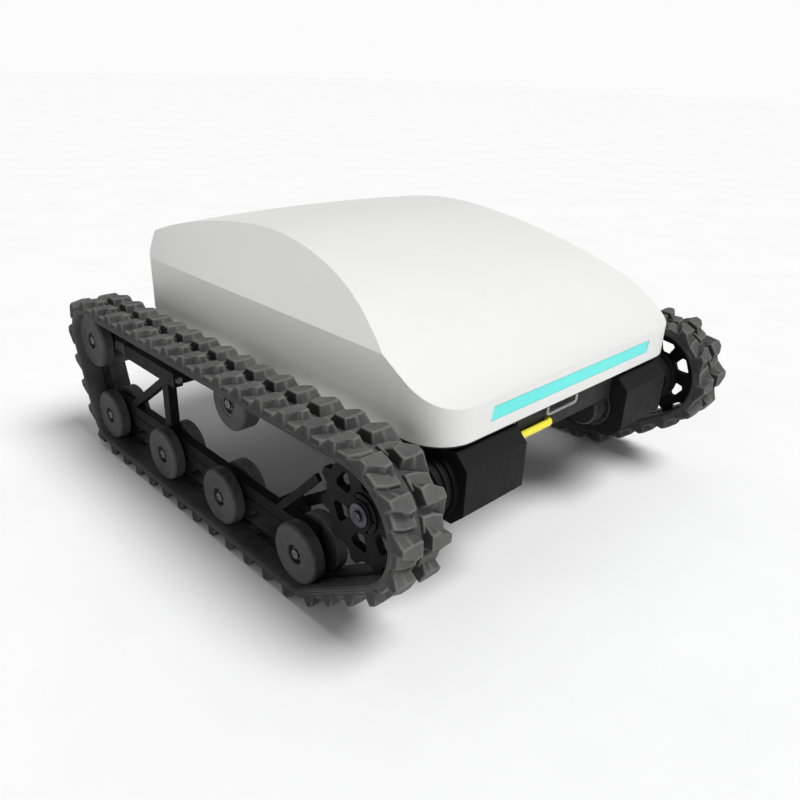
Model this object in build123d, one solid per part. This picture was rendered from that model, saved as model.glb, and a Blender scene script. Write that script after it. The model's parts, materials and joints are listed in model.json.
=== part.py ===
from build123d import *
import os
from math import sin, cos, atan2, asin, pi, sqrt, hypot, radians, degrees

os.makedirs("parts", exist_ok=True)

# ---------------------------------------------------------------- frame
# Millimetres, +X forward, +Y to the vehicle's left, +Z up.
# Origin: centre of the footprint, on the ground (tips of the tread lugs).
LUG_H = 22.0                    # lug height over the cord layer of the belt
TREAD_BASE = 7.5                # solid rubber between the cord layer and the foot of the lugs
GROUND = LUG_H                  # height of the cord layer's outer face on the bottom run
XS = -406.35                    # rearmost road wheel axis in this frame

# ---------------------------------------------------------------- tracks
TRACK_C = 450.0                 # belt centre plane, distance from the vehicle centre plane
BELT_W = 100.0                  # belt width
CARCASS = 11.0                  # belt carcass thickness
PITCH_NOM = 60.0                # nominal tread pitch
GAP = 0.3                       # rolling gap between wheels and belt
GUIDE_W = 18.0                  # relief channel for the sprocket teeth, inside the belt
GUIDE_D = 5.5
WIN_L = 26.0                    # drive window, length along the belt
WIN_W = 16.0                    # drive window, width

WHEEL_X = [XS + 0.0, XS + 240.0, XS + 454.0, XS + 687.0]
WHEEL_R = 54.7                  # road wheel radius
WHEEL_Z = GROUND + CARCASS + GAP + WHEEL_R
WHEEL_T = 24.0                  # one disc of a wheel pair
WHEEL_OUT = 487.0               # outer face of the outer disc

IDLER_X, IDLER_Z, IDLER_R = XS - 44.0, GROUND + 231.5, 60.0
ROLLER_X, ROLLER_R = XS + 446.0, 52.0
SPRK_X, SPRK_Z = XS + 822.0, GROUND + 202.0
SPRK_BELT_R = 96.0              # belt inner face radius round the sprocket
SPRK_TIP_R = SPRK_BELT_R + 4.6  # tooth tips, inside the relief channel
SPRK_ROOT_R = 86.0
SPRK_TEETH = 11
SPRK_WINDOWS = 6                # lightening windows in the sprocket plate
SPRK_T = 14.0

AXLE_R = 10.0                   # fixed wheel pins, middle part
JOURNAL_R = 7.5                 # fixed wheel pins, bearing seats
BRG_OD_R, BRG_W = 17.5, 11.0    # 15 x 35 x 11 deep-groove bearings
CLR = 0.05                      # turning clearance on a radius
DRIVE_R = 12.5                  # sprocket drive shaft radius

# ---------------------------------------------------------------- body
CV_X0, CV_X1 = XS + 11.0, XS + 881.0    # cover, rear and front faces
CV_HW = 363.0                   # cover half width
CV_Z0 = GROUND + 288.0          # cover bottom edge
SHOULDER_Z = GROUND + 411.6     # shoulder line on the cover's side
CV_T = 4.0                      # cover wall
R_FRONT, R_REAR = 75.0, 14.0    # cover corner radii in plan
ROOF = [(11, 467), (60, 484), (120, 498.5), (180, 508.5), (240, 516), (300, 520.2),
        (360, 520.0), (420, 514.8), (480, 506.2), (540, 494.2), (600, 478.2),
        (660, 457.6), (710, 435.5), (759, 410.0), (790, 391.5), (816, 377.0),
        (836, 366.0), (852, 358.0), (866, 352.5), (881, 348.0)]
FACET = [(-40, 2.75), (11, 2.40), (70, 1.98), (140, 1.62), (220, 1.44), (320, 1.33),
         (430, 1.255), (540, 1.22), (650, 1.23), (740, 1.26), (830, 1.29)]
LENS_HY, LENS_Z0, LENS_Z1 = 242.0, GROUND + 309.0, GROUND + 333.0

DECK_Z1 = CV_Z0                 # top of the deck rim the cover sits on
TUB_Z0 = GROUND + 228.0         # underside of the battery tub
TUB_HY = 350.0
TUB_X0, TUB_X1 = XS + 24.0, XS + 738.0

GB_X0, GB_X1 = XS + 748.0, XS + 896.0   # gearbox housing, octagonal section
GB_Z0, GB_Z1 = GROUND + 144.0, GROUND + 273.5
GB_CH = 24.0
GB_Y0, GB_Y1, GB_Y2 = 161.0, 312.0, 403.8
MOTOR_R, MOTOR_Y0 = 36.0, 118.0

BEAM_Y0, BEAM_Y1 = 440.5, 459.5  # side frame plates between the wheel discs


def save(shape, name):
    export_step(shape, "parts/" + name + ".step")
    print(name, len(shape.solids()), round(sum(s.volume for s in shape.solids())))


def box(x0, x1, y0, y1, z0, z1):
    return Pos((x0 + x1) / 2, (y0 + y1) / 2, (z0 + z1) / 2) * Box(x1 - x0, y1 - y0, z1 - z0)


def rbox(x0, x1, a0, a1, z0, z1):
    """Box on the right-hand side, a0..a1 measured outward from the centre plane."""
    return box(x0, x1, -a1, -a0, z0, z1)


def turned(points, x, z):
    """Body of revolution about a cross axis; points are (radius, outward distance)."""
    face = Face(Wire.make_polygon([(r, -a, 0) for r, a in points], close=True))
    return Pos(x, 0, z) * revolve(face, Axis.Y, 360)


def cyl(x, z, r, a0, a1):
    return turned([(0, a0), (r, a0), (r, a1), (0, a1)], x, z)


def ring(x, z, r0, r1, a0, a1):
    return turned([(r0, a0), (r1, a0), (r1, a1), (r0, a1)], x, z)


def plate_xz(points, a0, a1):
    """Flat plate standing fore-and-aft: outline in (x, z), a0..a1 outward."""
    f = Face(Wire.make_polygon([(x, -a0, z) for x, z in points], close=True))
    return extrude(f, amount=a1 - a0, dir=(0, -1, 0))


def bar_xz(p, q, w, a0, a1):
    """Straight flat bar from p to q in (x, z), width w."""
    dx, dz = q[0] - p[0], q[1] - p[1]
    n = hypot(dx, dz)
    nx, nz = -dz / n * w / 2, dx / n * w / 2
    return plate_xz([(p[0] + nx, p[1] + nz), (p[0] - nx, p[1] - nz),
                     (q[0] - nx, q[1] - nz), (q[0] + nx, q[1] + nz)], a0, a1)


def rod(points, r, bend=10.0):
    """Round bar through the points, corners rounded."""
    path = FilletPolyline(*points, radius=bend)
    return sweep(Plane(origin=path @ 0, z_dir=path % 0) * Circle(r), path=path)


def group(parts):
    out = []
    for p in parts:
        out.extend(p.solids())
    return Compound(children=out)


def flip(shape):
    return mirror(shape, about=Plane.XZ)


def pair(name, right):
    """Write the right-hand piece and its mirror image."""
    save(right, "right_" + name)
    solids = right.solids()
    if len(solids) > 1:
        save(Compound(children=[flip(s) for s in solids]), "left_" + name)
    else:
        save(flip(right), "left_" + name)


# ---------------------------------------------------------------- belt path
# Closed convex loop of the carcass outer face: tangents and arcs round
# rear wheel, front wheel, sprocket and idler, run counter-clockwise in (x, z).
CIRC = [(WHEEL_X[0], WHEEL_Z, WHEEL_R + GAP + CARCASS),
        (WHEEL_X[3], WHEEL_Z, WHEEL_R + GAP + CARCASS),
        (SPRK_X, SPRK_Z, SPRK_BELT_R + CARCASS),
        (IDLER_X, IDLER_Z, IDLER_R + GAP + CARCASS)]


def tangent_angle(c, d):
    dx, dz = d[0] - c[0], d[1] - c[1]
    # outward normal n = (sin t, -cos t); (d - c).n = rc - rd
    return atan2(dz, dx) + asin((c[2] - d[2]) / hypot(dx, dz))


THETA = [tangent_angle(CIRC[i], CIRC[(i + 1) % 4]) for i in range(4)]
SEGS = []                       # (kind, length, data)
for i in range(4):
    c, d = CIRC[i], CIRC[(i + 1) % 4]
    t = THETA[i]
    n = (sin(t), -cos(t))
    p = (c[0] + c[2] * n[0], c[1] + c[2] * n[1])
    q = (d[0] + d[2] * n[0], d[1] + d[2] * n[1])
    SEGS.append(("line", hypot(q[0] - p[0], q[1] - p[1]), (p, q, t)))
    turn = (THETA[(i + 1) % 4] - t) % (2 * pi)
    SEGS.append(("arc", turn * d[2], (d, t)))
LOOP = sum(s[1] for s in SEGS)
N_PITCH = round(LOOP / PITCH_NOM)
PITCH = LOOP / N_PITCH


def at(s):
    """Point, travel angle on the carcass outer face at distance s."""
    s = s % LOOP
    for kind, length, data in SEGS:
        if s <= length:
            if kind == "line":
                p, q, t = data
                f = s / length
                return p[0] + (q[0] - p[0]) * f, p[1] + (q[1] - p[1]) * f, t
            d, t0 = data
            t = t0 + s / d[2]
            return d[0] + d[2] * sin(t), d[1] - d[2] * cos(t), t
        s -= length
    return at(0)


def loop_wire(inset, a):
    """The loop, moved inward by inset, as a wire in the plane at distance a."""
    edges = []
    for kind, length, data in SEGS:
        if kind == "line":
            p, q, t = data
            n = (sin(t), -cos(t))
            edges.append(Edge.make_line((p[0] - inset * n[0], -a, p[1] - inset * n[1]),
                                        (q[0] - inset * n[0], -a, q[1] - inset * n[1])))
        else:
            d, t0 = data
            r = d[2] - inset
            t1 = t0 + length / d[2]
            pts = [(d[0] + r * sin(t), -a, d[1] - r * cos(t)) for t in (t0, (t0 + t1) / 2, t1)]
            edges.append(Edge.make_three_point_arc(*pts))
    return Wire(edges)


def loop_solid(i0, i1, a0, a1):
    f0 = Face(loop_wire(i0, a0))
    f1 = Face(loop_wire(i1, a0))
    return extrude(f0, amount=a1 - a0, dir=(0, -1, 0)) - extrude(f1, amount=a1 - a0, dir=(0, -1, 0))


def block(base, top, h0, h1):
    """Tapered tread block. Corners are (along the belt, outward from the belt centre)."""
    w0 = Wire.make_polygon([(s, -t, h0) for s, t in base], close=True)
    w1 = Wire.make_polygon([(s, -t, h1) for s, t in top], close=True)
    return Solid.make_loft([w0, w1], True)


def place(shape, s, dy=-TRACK_C):
    x, z, t = at(s)
    # local +X along travel, local +Z outward from the loop
    return shape.moved(Location(Plane(origin=(x, dy, z), x_dir=(-cos(t), 0, -sin(t)),
                                      z_dir=(sin(t), 0, -cos(t)))))


# Tread blocks of one pitch, measured from the drive pocket of that pitch.
# Each is built round its own centre c so that it sits square on the arcs.
def tread(c, base, top, h0, h1):
    return c, block([(p - c, t) for p, t in base], [(p - c, t) for p, t in top], h0, h1)


# The two rows are the same slanted bar turned half round: steep on one flank,
# ramped on the other, with a kink near a quarter of the width.
TREAD = [
    # outer lug, reaching the belt's outer edge; steep flank forward
    tread(-10.0, [(-8.5, 50), (1.5, 28), (5.5, 26), (20, 8.5), (-26, 8.5), (-36, 30), (-46, 50)],
          [(-10, 49.2), (0, 27.5), (4, 25), (1, 9.8), (-24, 9.8), (-24, 30), (-23.5, 49.2)], 3.0, LUG_H),
    # inner lug, reaching the belt's inner edge; steep flank rearward
    tread(-9.5, [(-11, -50), (-21, -28), (-25, -26), (-40, -8.5), (6.5, -8.5), (16.5, -30), (32, -50)],
          [(-9.5, -49.2), (-19.5, -27.5), (-23.5, -25), (-20.5, -9.8), (4.5, -9.8), (4.5, -30), (4, -49.2)], 3.0, LUG_H)]

# phase: a drive pocket sits at this x on the top run
PHASE_X = XS + 518.0
s_top = SEGS[0][1] + SEGS[1][1] + SEGS[2][1] + SEGS[3][1]
p_top, q_top, t_top = SEGS[4][2]
PHASE = s_top + (PHASE_X - p_top[0]) / cos(t_top)

belt = loop_solid(-TREAD_BASE, CARCASS, TRACK_C - BELT_W / 2, TRACK_C + BELT_W / 2)
belt = belt - loop_solid(CARCASS - GUIDE_D, CARCASS + 3, TRACK_C - GUIDE_W / 2, TRACK_C + GUIDE_W / 2)
# blind pockets for the sprocket teeth, open to the inside of the loop
window = Pos(0, 0, -(CARCASS + 2) / 2) * Box(WIN_L, WIN_W, CARCASS + 2)
belt = belt - [place(window, PHASE + k * PITCH) for k in range(N_PITCH)]
blocks = [place(b, PHASE + k * PITCH - c) for k in range(N_PITCH) for c, b in TREAD]
belt = belt.fuse(*blocks)
if isinstance(belt, (list, ShapeList)):
    belt = Compound(children=list(belt))
# lug tips follow the loop at lug height, flat on the ground run
tip = extrude(Face(loop_wire(-LUG_H, TRACK_C - BELT_W / 2 - 1)), amount=BELT_W + 2, dir=(0, -1, 0))
belt = belt & tip
for k in range(N_PITCH):
    x, z, t = at(PHASE + k * PITCH - TREAD[0][0])
    if abs(z - GROUND) < 1e-6 and abs(x) < 300:
        print("lug tip on the ground run at x", round(x, 3))
print("loop", round(LOOP, 2), "pitches", N_PITCH, "pitch", round(PITCH, 3))
pair("track_belt", belt)


# ---------------------------------------------------------------- wheels
def disc(x, z, r, outer, ch=4.0, t=WHEEL_T):
    """Tyred wheel disc with a bearing pocket open to the far side of the pair."""
    m = TRACK_C
    o = WHEEL_OUT - m               # outer face, from the belt centre
    i = o - t                       # inner face
    pts = [(JOURNAL_R + 5.5, i), (r - 2.0, i), (r, i + 2.0), (r, o - ch),
           (r - ch * 0.45, o - ch * 0.45), (r - ch, o), (BRG_OD_R + 1.6, o), (BRG_OD_R + CLR, o - 1.6),
           (BRG_OD_R + CLR, i + 5.0), (JOURNAL_R + 5.5, i + 5.0)]
    # shallow dished ring on the face and a groove on the tread
    pts = pts[:6] + [(r - ch - 6.0, o), (r - ch - 7.0, o - 0.8), (BRG_OD_R + 7.0, o - 0.8),
                     (BRG_OD_R + 6.0, o)] + pts[6:]
    k = 1 if outer else -1
    return turned([(rr, m + k * a) for rr, a in pts], x, z)


wheel_sets = [("road_wheel_%d" % (i + 1), WHEEL_X[i], WHEEL_Z, WHEEL_R, 3.6) for i in range(4)]
wheel_sets.append(("idler_wheel", IDLER_X, IDLER_Z, IDLER_R, 5.0))
for name, x, z, r, ch in wheel_sets:
    pair(name + "_outer", disc(x, z, r, True, ch))
    pair(name + "_inner", disc(x, z, r, False, ch))

# top support roller, on the inner half of the belt
top_z = lambda x: at(s_top + (x - p_top[0]) / cos(t_top))[1]
ROLLER_Z = top_z(ROLLER_X) - (CARCASS + GAP + ROLLER_R) / 1.0
RO0, RO1 = 413.0, 449.0
roller = turned([(BRG_OD_R + CLR, RO0 + 6.0), (JOURNAL_R + 5.5, RO0 + 6.0), (JOURNAL_R + 5.5, RO0), (ROLLER_R - 2, RO0),
                 (ROLLER_R, RO0 + 2), (ROLLER_R, RO1 - 3.2), (ROLLER_R - 1.4, RO1 - 1.4), (ROLLER_R - 3.2, RO1),
                 (BRG_OD_R + 8, RO1), (BRG_OD_R + 8, RO1 - 1.0), (BRG_OD_R + 1.4, RO1 - 1.0),
                 (BRG_OD_R + CLR, RO1 - 2.4)], ROLLER_X, ROLLER_Z)
pair("top_roller", roller)

# ---------------------------------------------------------------- pins, bearings, retaining bolts
AX0, AX1 = TRACK_C - 29.0, TRACK_C + 29.0


def wheel_pin(x, z):
    p = turned([(0, AX0), (JOURNAL_R - 0.8, AX0), (JOURNAL_R, AX0 + 0.8), (JOURNAL_R, AX0 + BRG_W),
                (AXLE_R, AX0 + BRG_W), (AXLE_R, AX1 - BRG_W), (JOURNAL_R, AX1 - BRG_W),
                (JOURNAL_R, AX1 - 0.8), (JOURNAL_R - 0.8, AX1), (0, AX1)], x, z)
    return p - cyl(x, z, 4.05, AX0 - 1, AX0 + 15) - cyl(x, z, 4.05, AX1 - 15, AX1 + 1)


pins = [wheel_pin(x, WHEEL_Z) for x in WHEEL_X] + [wheel_pin(IDLER_X, IDLER_Z)]
pair("wheel_pins", group(pins))


def bearing(x, z, a0):
    b = ring(x, z, JOURNAL_R, BRG_OD_R, a0, a0 + BRG_W)
    b = b - ring(x, z, 11.6, 14.2, a0 - 0.1, a0 + 0.9) - ring(x, z, 11.6, 14.2, a0 + BRG_W - 0.9, a0 + BRG_W + 0.1)
    return b


brgs = []
for x, z in [(x, WHEEL_Z) for x in WHEEL_X] + [(IDLER_X, IDLER_Z)]:
    brgs += [bearing(x, z, AX0), bearing(x, z, AX1 - BRG_W)]
brgs += [bearing(ROLLER_X, ROLLER_Z, 421.0), bearing(ROLLER_X, ROLLER_Z, 433.0)]
pair("wheel_bearings", group(brgs))


def hex_bolt(x, z, a, k, shank=12.0):
    """Hexagon bolt with washer; a is the seat, k the outward direction (+1/-1)."""
    y = -a
    d = -k
    hexa = Plane(origin=(x, y + d * 1.6, z), x_dir=(1, 0, 0), z_dir=(0, d, 0)) * RegularPolygon(8.0, 6, major_radius=False)
    head = extrude(hexa, amount=4.6)
    hd = head & cyl(x, z, 9.0, min(a, a + k * 8), max(a, a + k * 8))
    w = cyl(x, z, 11.0, min(a, a + k * 1.6), max(a, a + k * 1.6))
    s = cyl(x, z, 4.0, min(a + k * 0.5, a - k * shank), max(a + k * 0.5, a - k * shank))
    b = w + s + hd
    # shallow dish in the head
    return b - cyl(x, z, 3.4, min(a + k * 5.6, a + k * 7), max(a + k * 5.6, a + k * 7))


bolts = []
for x, z in [(x, WHEEL_Z) for x in WHEEL_X] + [(IDLER_X, IDLER_Z)]:
    bolts += [hex_bolt(x, z, AX0, -1), hex_bolt(x, z, AX1, 1)]

# ---------------------------------------------------------------- sprocket and drive shaft
# a tooth points at the drive pocket nearest the middle of the wrap
s_mid = SEGS[0][1] + SEGS[1][1] + SEGS[2][1] + SEGS[3][1] / 2
k_mid = round((s_mid - PHASE) / PITCH)
TOOTH_A = (s_mid - (PHASE + k_mid * PITCH)) / (SPRK_BELT_R + CARCASS)
TOOTH_A = (SEGS[3][2][1] + SEGS[3][1] / 2 / (SPRK_BELT_R + CARCASS)) - pi / 2 - TOOTH_A
pts = []
for k in range(SPRK_TEETH):
    a0 = 2 * pi * k / SPRK_TEETH + TOOTH_A
    w = 2 * pi / SPRK_TEETH
    for f, r in ((-0.5, SPRK_ROOT_R), (-0.30, SPRK_ROOT_R + 1.0), (-0.20, SPRK_ROOT_R + 7.5), (-0.13, SPRK_TIP_R - 0.6),
                 (0.0, SPRK_TIP_R), (0.13, SPRK_TIP_R - 0.6), (0.20, SPRK_ROOT_R + 7.5), (0.30, SPRK_ROOT_R + 1.0)):
        a = a0 + f * w
        pts.append((SPRK_X + r * cos(a), SPRK_Z + r * sin(a)))
sprk = plate_xz(pts, TRACK_C - SPRK_T / 2, TRACK_C + SPRK_T / 2)
# lightening windows: tapered, with a straight outer side and cut corners
for k in range(SPRK_WINDOWS):
    a = 2 * pi * k / SPRK_WINDOWS + pi / 8
    hole = []
    for r, w in ((39, -7), (39, 7), (45, 11.5), (62, 18.5), (68, 13.5), (68, -13.5), (62, -18.5), (45, -11.5)):
        hole.append((SPRK_X + r * cos(a) - w * sin(a), SPRK_Z + r * sin(a) + w * cos(a)))
    sprk = sprk - plate_xz(hole, TRACK_C - 20, TRACK_C + 20)
sprk = sprk + cyl(SPRK_X, SPRK_Z, 33.0, TRACK_C - 11, TRACK_C + 11) + cyl(SPRK_X, SPRK_Z, 24.0, TRACK_C - 28, TRACK_C + 14)
sprk = sprk - cyl(SPRK_X, SPRK_Z, DRIVE_R + 0.02, TRACK_C - 60, TRACK_C + 60)
for k in range(6):
    a = 2 * pi * k / 6
    sprk = sprk - cyl(SPRK_X + 28.5 * cos(a), SPRK_Z + 28.5 * sin(a), 2.6, TRACK_C + 5, TRACK_C + 12)
pair("drive_sprocket", sprk)

shaft = turned([(0, 330.2), (DRIVE_R - 1, 330.2), (DRIVE_R, 331.2), (DRIVE_R, TRACK_C + 14), (19.0, TRACK_C + 14.02),
                (19.0, TRACK_C + 17.0), (9.0, TRACK_C + 17.0), (9.0, TRACK_C + 21.0), (8.0, TRACK_C + 22.0), (0, TRACK_C + 22.0)],
               SPRK_X, SPRK_Z)
pair("drive_shaft", shaft)

# ---------------------------------------------------------------- gearboxes and motors
oct_pts = [(GB_X0 + GB_CH, GB_Z0), (GB_X1 - GB_CH, GB_Z0), (GB_X1, GB_Z0 + GB_CH), (GB_X1, GB_Z1 - GB_CH),
           (GB_X1 - GB_CH, GB_Z1), (GB_X0 + GB_CH, GB_Z1), (GB_X0, GB_Z1 - GB_CH), (GB_X0, GB_Z0 + GB_CH)]
gb = plate_xz(oct_pts, GB_Y0, GB_Y1)
gb = gb + cyl(SPRK_X, SPRK_Z, 60.0, GB_Y1 - 1, GB_Y1 + 8) + cyl(SPRK_X, SPRK_Z, 54.0, GB_Y1, GB_Y2 - 12) \
    + cyl(SPRK_X, SPRK_Z, 60.0, GB_Y2 - 12, GB_Y2)
for a0 in (330.0, 346.0, 362.0):
    gb = gb + ring(SPRK_X, SPRK_Z, 53.0, 58.0, a0, a0 + 5)
# feet under the deck plate, bearing ring on the motor side, shaft bore
gb = gb + rbox(SPRK_X - 36, SPRK_X + 24, GB_Y0 + 16, GB_Y1 - 14, GB_Z1 - 2, DECK_Z1 - 4.0)
gb = gb - cyl(SPRK_X, SPRK_Z, DRIVE_R + CLR, 330.0, GB_Y2 + 1) - cyl(SPRK_X, SPRK_Z, 23.0, GB_Y2 - 5, GB_Y2 + 1)

motor = turned([(0, MOTOR_Y0), (10, MOTOR_Y0), (10, MOTOR_Y0 + 3), (MOTOR_R - 3, MOTOR_Y0 + 3), (MOTOR_R, MOTOR_Y0 + 6)]
               + [p for k in range(4) for p in ((MOTOR_R, MOTOR_Y0 + 8 + 7 * k), (MOTOR_R - 2.5, MOTOR_Y0 + 9 + 7 * k),
                                                (MOTOR_R - 2.5, MOTOR_Y0 + 12 + 7 * k), (MOTOR_R, MOTOR_Y0 + 13 + 7 * k))]
               + [(MOTOR_R, GB_Y0 - 6), (45.0, GB_Y0 - 6), (46.0, GB_Y0 - 5), (46.0, GB_Y0), (0, GB_Y0)], SPRK_X, SPRK_Z)
motor = motor + rbox(SPRK_X - 16, SPRK_X + 16, 124, 149, SPRK_Z + MOTOR_R - 6, SPRK_Z + MOTOR_R + 9)


def cap_screw_y(x, z, a, k, r=2.5, head=4.2, hh=3.2, sh=9.0):
    y = (min(a, a + k * hh), max(a, a + k * hh))
    s = cyl(x, z, head, *y) + cyl(x, z, r, min(a + k, a - k * sh), max(a + k, a - k * sh))
    return s - cyl(x, z, 1.9, min(a + k * 1.2, a + k * 5), max(a + k * 1.2, a + k * 5))


# screws that hold the motor flange: their shanks run into the housing
mscr, gb_holes = [], []
for k in range(6):
    a = 2 * pi * k / 6 + pi / 6
    x, z = SPRK_X + 40.8 * cos(a), SPRK_Z + 40.8 * sin(a)
    mscr.append(cap_screw_y(x, z, GB_Y0 - 6, -1, r=2.5, head=4.2, hh=3.2, sh=18.0))
# clearance holes through the motor flange
motor2 = motor
for k in range(6):
    a = 2 * pi * k / 6 + pi / 6
    motor2 = motor2 - cyl(SPRK_X + 40.8 * cos(a), SPRK_Z + 40.8 * sin(a), 2.55, GB_Y0 - 7, GB_Y0 + 1.0)
pair("drive_motor", motor2)

# ---------------------------------------------------------------- side frames
bz0, bz1 = GROUND + 72.0, GROUND + 109.0
fr = rbox(XS + 18, XS + 704, BEAM_Y0, BEAM_Y1, bz0, bz1)
for x in WHEEL_X:
    fr = fr + plate_xz([(x - 27, bz0 + 2), (x - 17, GROUND + 44), (x + 17, GROUND + 44), (x + 27, bz0 + 2)], BEAM_Y0, BEAM_Y1)
fr = fr + rbox(XS - 20, XS + 40, BEAM_Y0, BEAM_Y1, bz0, bz1)
# outboard flange strip along the lower edge of the beam
fr = fr + rbox(XS + 62, XS + 180, BEAM_Y0, BEAM_Y1 + 1.5, bz0 - 8, bz0 + 12)
fr = fr + rbox(XS + 302, XS + 393, BEAM_Y0, BEAM_Y1 + 1.5, bz0 - 8, bz0 + 12)
fr = fr + rbox(XS + 516, XS + 626, BEAM_Y0, BEAM_Y1 + 1.5, bz0 - 8, bz0 + 12)
# rear post, rear brace, upper bar
tz0, tz1 = IDLER_Z - 15.0, IDLER_Z + 15.0
fr = fr + rbox(XS + 216, XS + 240, BEAM_Y0, BEAM_Y1, bz1 - 2, tz1)
fr = fr + bar_xz((XS + 58, bz1 - 8), (XS + 226, tz0 + 4), 15, BEAM_Y0, BEAM_Y0 + 7)
fr = fr + bar_xz((XS + 58, bz1 - 8), (XS + 226, tz0 + 4), 15, BEAM_Y1 - 7, BEAM_Y1)
fr = fr + rbox(XS + 56, XS + 268, BEAM_Y0, BEAM_Y1, tz0, tz1)
fr = fr - rbox(XS + 50, XS + 200, BEAM_Y0 + 3.4, BEAM_Y1 - 3.4, tz0 + 3.5, tz1 - 3.5)
fr = fr - Pos(XS + 235, -TRACK_C, IDLER_Z) * Rot(0, 90, 0) * Cylinder(4.05, 80)
# front brace to the bearing plate round the drive shaft
fr = fr + rbox(XS + 584, XS + 628, 404, BEAM_Y1, bz0 + 10, bz1)
fr = fr + bar_xz((XS + 604, bz1 - 14), (XS + 768, GROUND + 204), 20, 404, 411.5)
fr = fr + bar_xz((XS + 604, bz1 - 6), (XS + 716, GROUND + 216), 14, 452.5, BEAM_Y1)
fr = fr - cyl(SPRK_X, SPRK_Z, SPRK_TIP_R + 2.0, 424, 470)
fr = fr + cyl(SPRK_X, SPRK_Z, 60.0, 404, 411.5)
fr = fr - cyl(SPRK_X, SPRK_Z, 30.0, 400, 415)
for x in WHEEL_X:
    fr = fr - cyl(x, WHEEL_Z, AXLE_R + 0.01, BEAM_Y0 - 5, BEAM_Y1 + 5)
# holes for the bearing plate screws
for k in range(6):
    a = 2 * pi * k / 6
    fr = fr - cyl(SPRK_X + 46 * cos(a), SPRK_Z + 46 * sin(a), 2.55, 400, 415)
# keep clear of the inner discs of the wheels
for x in WHEEL_X:
    fr = fr - cyl(x, WHEEL_Z, WHEEL_R + 1.5, 400, 439.0)
pair("side_frame", fr)

# bearing plate screws run through the frame plate into the gearbox end
gb2 = gb
pscr = []
for k in range(6):
    a = 2 * pi * k / 6
    x, z = SPRK_X + 46 * cos(a), SPRK_Z + 46 * sin(a)
    pscr.append(cap_screw_y(x, z, 411.5, 1, r=2.5, head=4.2, hh=3.2, sh=18.0))
    gb2 = gb2 - cyl(x, z, 2.55, GB_Y2 - 12, GB_Y2 + 1)
for k in range(6):
    a = 2 * pi * k / 6 + pi / 6
    gb2 = gb2 - cyl(SPRK_X + 40.8 * cos(a), SPRK_Z + 40.8 * sin(a), 2.55, GB_Y0 - 1, GB_Y0 + 13)
pair("gearbox", gb2)
pair("gearbox_screws", group(mscr + pscr))

# ---------------------------------------------------------------- track tensioner
slide = rbox(IDLER_X - 20, XS + 150, BEAM_Y0 + 3.5, BEAM_Y1 - 3.5, tz0 + 3.6, tz1 - 3.6)
slide = slide + plate_xz([(IDLER_X - 24, IDLER_Z - 16), (IDLER_X + 40, IDLER_Z - 16), (IDLER_X + 58, IDLER_Z - 9),
                          (IDLER_X + 58, IDLER_Z + 9), (IDLER_X + 40, IDLER_Z + 16), (IDLER_X - 24, IDLER_Z + 16)],
                         BEAM_Y0, BEAM_Y1)
slide = slide - cyl(IDLER_X, IDLER_Z, AXLE_R + 0.01, 400, 500)
tx = XS + 150.0
slide = slide - Pos(tx - 5, -TRACK_C, IDLER_Z) * Rot(0, 90, 0) * Cylinder(4.05, 50)
pair("tensioner_slide", slide)
scr = Pos((tx - 25 + XS + 269) / 2, -TRACK_C, IDLER_Z) * Rot(0, 90, 0) * Cylinder(4.0, XS + 269 - tx + 25)
head = extrude(Plane(origin=(XS + 268, -TRACK_C, IDLER_Z), x_dir=(0, 0, 1), z_dir=(1, 0, 0)) * RegularPolygon(6.5, 6, major_radius=False), amount=5.3)
pair("tensioner_screw", scr + head)

# ---------------------------------------------------------------- outriggers and roller bracket
outs = [rbox(XS + 92, XS + 132, TUB_HY, BEAM_Y0, tz0 + 2, tz0 + 8) + rbox(XS + 92, XS + 132, TUB_HY, TUB_HY + 5, tz0 + 2, tz0 + 32)
        + rbox(XS + 92, XS + 132, BEAM_Y0 - 5, BEAM_Y0, tz0 + 2, tz1 - 2),
        rbox(XS + 222, XS + 262, TUB_HY, BEAM_Y0, tz0 + 2, tz0 + 8) + rbox(XS + 222, XS + 262, TUB_HY, TUB_HY + 5, tz0 + 2, tz0 + 32)
        + rbox(XS + 222, XS + 262, BEAM_Y0 - 5, BEAM_Y0, tz0 + 2, tz1 - 2)]
pair("outriggers", group(outs))

rb = rbox(ROLLER_X - 34, ROLLER_X + 34, TUB_HY, TUB_HY + 6, TUB_Z0 + 2, CV_Z0 - 8)
rb = rb + turned([(0, TUB_HY + 2), (24, TUB_HY + 2), (15, 398), (AXLE_R, 398), (AXLE_R, 421), (JOURNAL_R, 421), (JOURNAL_R, 443.5),
                  (7.0, 444.0), (0, 444.0)], ROLLER_X, ROLLER_Z)
rb = rb - cyl(ROLLER_X, ROLLER_Z, 4.05, 428, 446)
pair("roller_bracket", rb)
bolts.append(hex_bolt(ROLLER_X, ROLLER_Z, 444.0, 1))
pair("wheel_bolts", group(bolts))


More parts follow.
